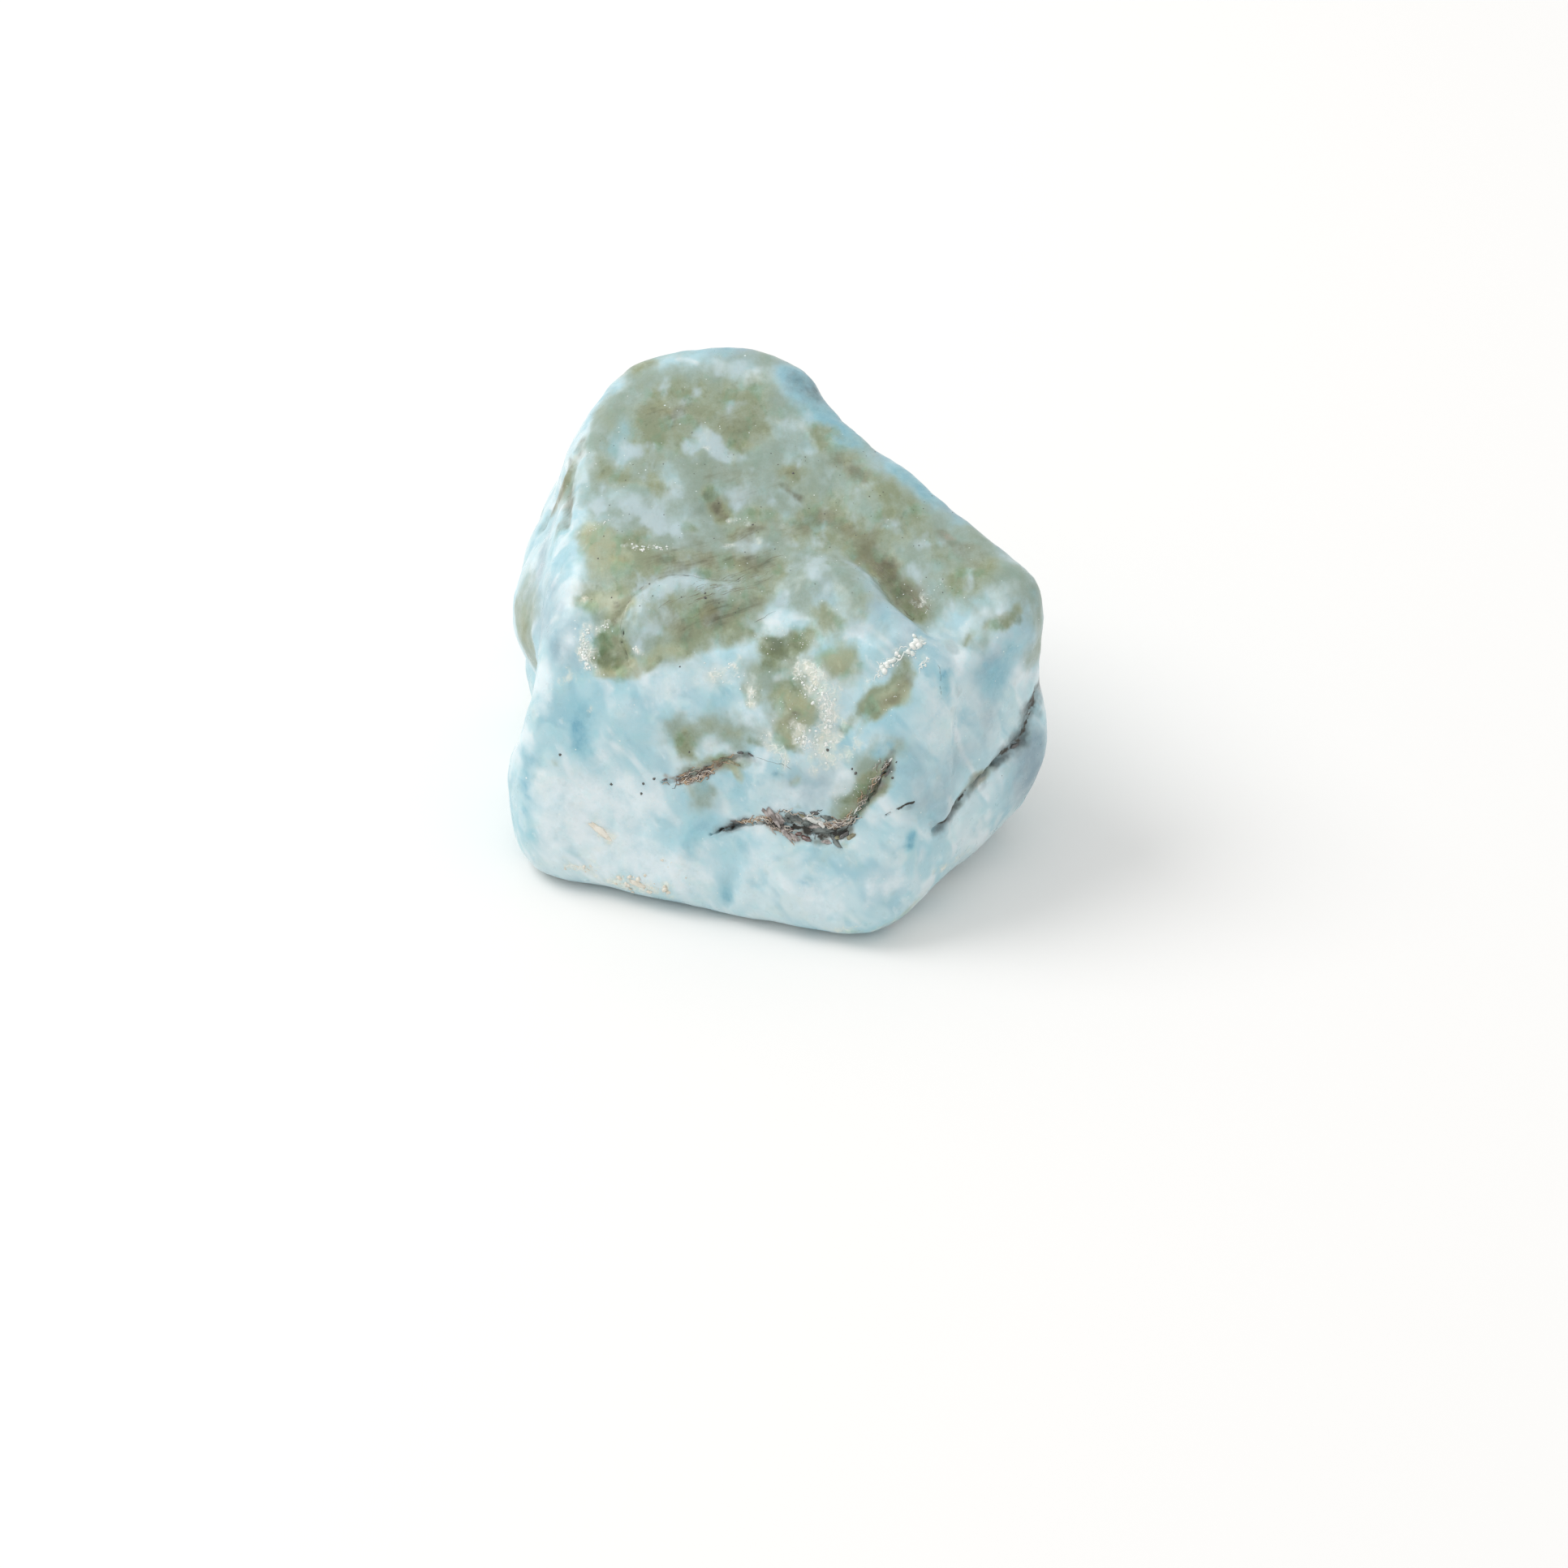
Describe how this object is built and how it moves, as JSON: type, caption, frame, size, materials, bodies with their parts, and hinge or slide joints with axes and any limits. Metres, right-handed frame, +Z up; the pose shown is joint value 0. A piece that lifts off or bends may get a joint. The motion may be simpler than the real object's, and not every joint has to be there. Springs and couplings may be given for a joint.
{
  "type": "raw larimar stone",
  "caption": "Blocky, water-worn lump of raw blue larimar with a flat resting face, a sloping top that rises to a blunt dome at the back, and softly rounded edges.",
  "frame": {"origin": "middle of the stone's box on the surface that it rests on", "axes": "+X to the right, +Y to the back, where the dome is, and +Z up; the wide front flank faces -Y"},
  "size_m": [0.0296, 0.0356, 0.0202],
  "materials": {
    "larimar": "worn smooth, waxy, with a soft gloss",
    "iron_oxide": "fibrous, with a dull metallic glint",
    "white_crust": "rough, fine-grained"
  },
  "bodies": {
    "root": {"larimar_stone": "larimar"}
  },
  "joints": []
}
